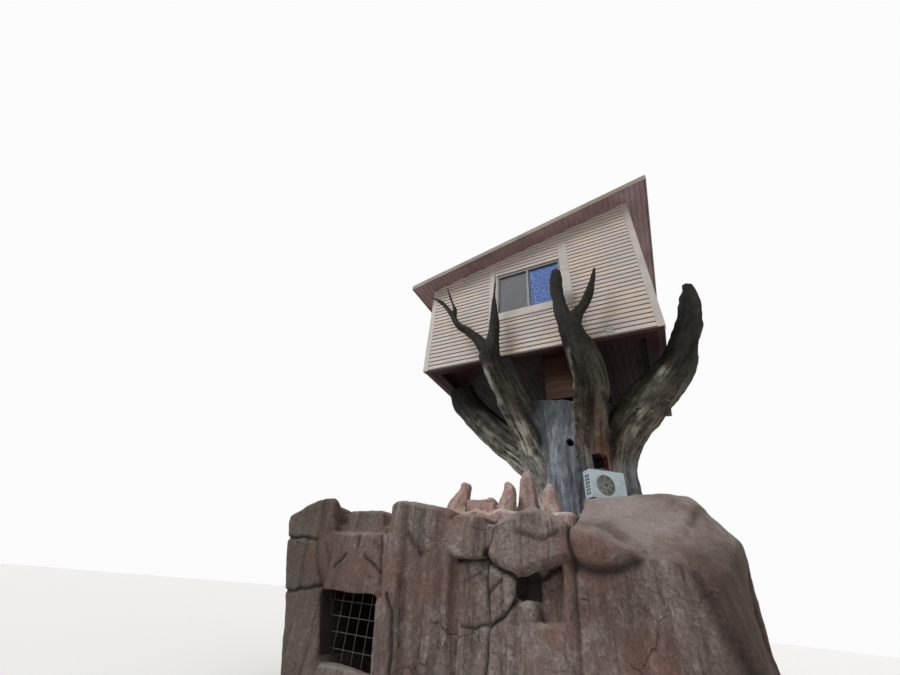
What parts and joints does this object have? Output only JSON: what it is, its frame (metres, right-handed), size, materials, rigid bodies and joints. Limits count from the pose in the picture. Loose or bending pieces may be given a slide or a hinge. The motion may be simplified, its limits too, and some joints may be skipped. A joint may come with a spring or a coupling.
{
  "type": "tree house",
  "caption": "Timber cabin with a sloping roof and a window, carried by a modelled tree that stands on a base of modelled rock with a den",
  "frame": {"origin": "on the ground under the middle of the trunk", "axes": "front (window side) towards -Y, left to right along +X, up +Z"},
  "size_m": [8.1982, 5.7287, 9.8665],
  "materials": {
    "modelled_rock": "rough cement render, modelled as rock and painted",
    "salmon_rock": "rough cement render, painted a pale salmon",
    "modelled_bark": "cement render, modelled as bark and painted blue-grey",
    "grille_wire": "dull galvanised wire",
    "shaft_boards": "oiled boards, weathered",
    "dark_timber": "dark red-brown stain, matt",
    "wall_boards": "printed wood-grain cladding boards, matt",
    "trim_boards": "matt pale grey paint",
    "insect_mesh": "fine dark insect mesh",
    "curtained_glass": "clear glass in front of a blue curtain",
    "roof_sheet": "matt grey coated sheet",
    "unit_enamel": "satin white enamel",
    "unit_wire": "dark grey coated wire",
    "fan_plastic": "dark grey plastic"
  },
  "bodies": {
    "building": {"rock_left_block": "modelled_rock", "rock_lintel": "modelled_rock", "rock_upper_block": "modelled_rock", "rock_jamb": "modelled_rock", "rock_sill": "modelled_rock", "rock_folds": "modelled_rock", "rock_panel": "modelled_rock", "rock_crag": "modelled_rock", "rock_mound": "modelled_rock", "rock_flank": "modelled_rock", "rock_core": "modelled_rock", "rock_back_left": "modelled_rock", "rock_back_right": "modelled_rock", "den_grille": "grille_wire", "left_spire": "salmon_rock", "middle_spire": "salmon_rock", "tall_spire": "salmon_rock", "small_spire": "salmon_rock", "rim_rocks": "salmon_rock", "trunk": "modelled_bark", "left_front_branch": "modelled_bark", "inner_limb": "modelled_bark", "left_limb": "modelled_bark", "centre_branch": "modelled_bark", "right_limb": "modelled_bark", "back_left_branch": "modelled_bark", "back_right_branch": "modelled_bark", "shaft_box": "shaft_boards", "floor_frame": "dark_timber", "floor_deck": "dark_timber", "front_wall": "wall_boards", "back_wall": "wall_boards", "left_wall": "wall_boards", "right_wall": "wall_boards", "corner_boards": "trim_boards", "window_frame": "trim_boards", "mesh_pane": "insect_mesh", "curtain_pane": "curtained_glass", "roof_deck": "dark_timber", "roof_sheet": "roof_sheet", "roof_fascia": "dark_timber", "unit_case": "unit_enamel", "unit_coil": "unit_wire", "unit_guard": "unit_wire"},
    "fan": {"unit_fan": "fan_plastic"}
  },
  "joints": [
    {"name": "fan_spin", "type": "hinge", "parent": "building", "child": "fan", "pos_m": [0.48656, -1.17927, 3.38325], "axis": [0.6018, -0.7986, 0], "continuous": true}
  ]
}
